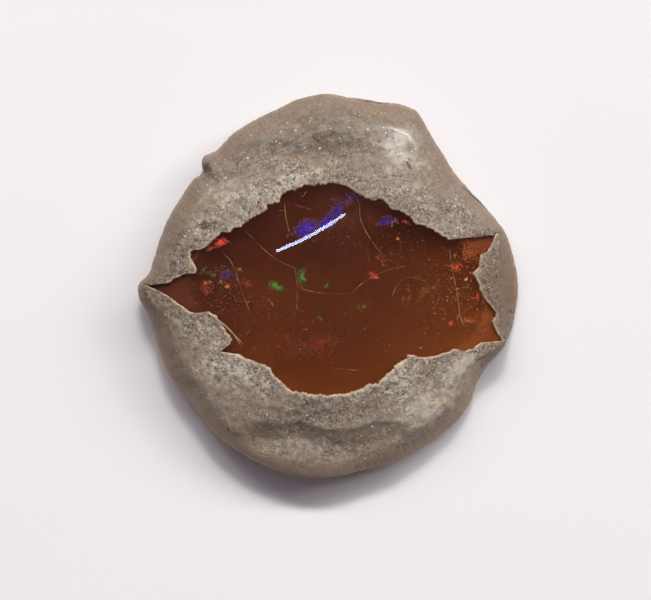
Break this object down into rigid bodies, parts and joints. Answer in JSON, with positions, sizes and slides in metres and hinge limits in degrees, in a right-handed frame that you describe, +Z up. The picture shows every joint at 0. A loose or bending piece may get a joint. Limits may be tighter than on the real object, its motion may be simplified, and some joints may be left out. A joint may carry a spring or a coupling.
{
  "type": "rough opal specimen",
  "caption": "Rounded nodule of grey host rock, ground to a low dome that opens a ragged window on the brown, see-through opal inside it; it rests on a flat underside.",
  "frame": {"origin": "centre of the bounding box at the resting face", "axes": "+Z up through the ground dome; +X along the long way of the opal window, towards its blunt end; +Y across the window, towards the broader rim of rock"},
  "size_m": [0.032, 0.0322, 0.007],
  "materials": {
    "host_rock": "ground and weathered rhyolite, pitted round the window and tan towards the rim",
    "opal": "glassy polish, see-through red-brown, with play of colour inside"
  },
  "bodies": {
    "root": {"host_rock": "host_rock", "opal": "opal"}
  },
  "joints": []
}
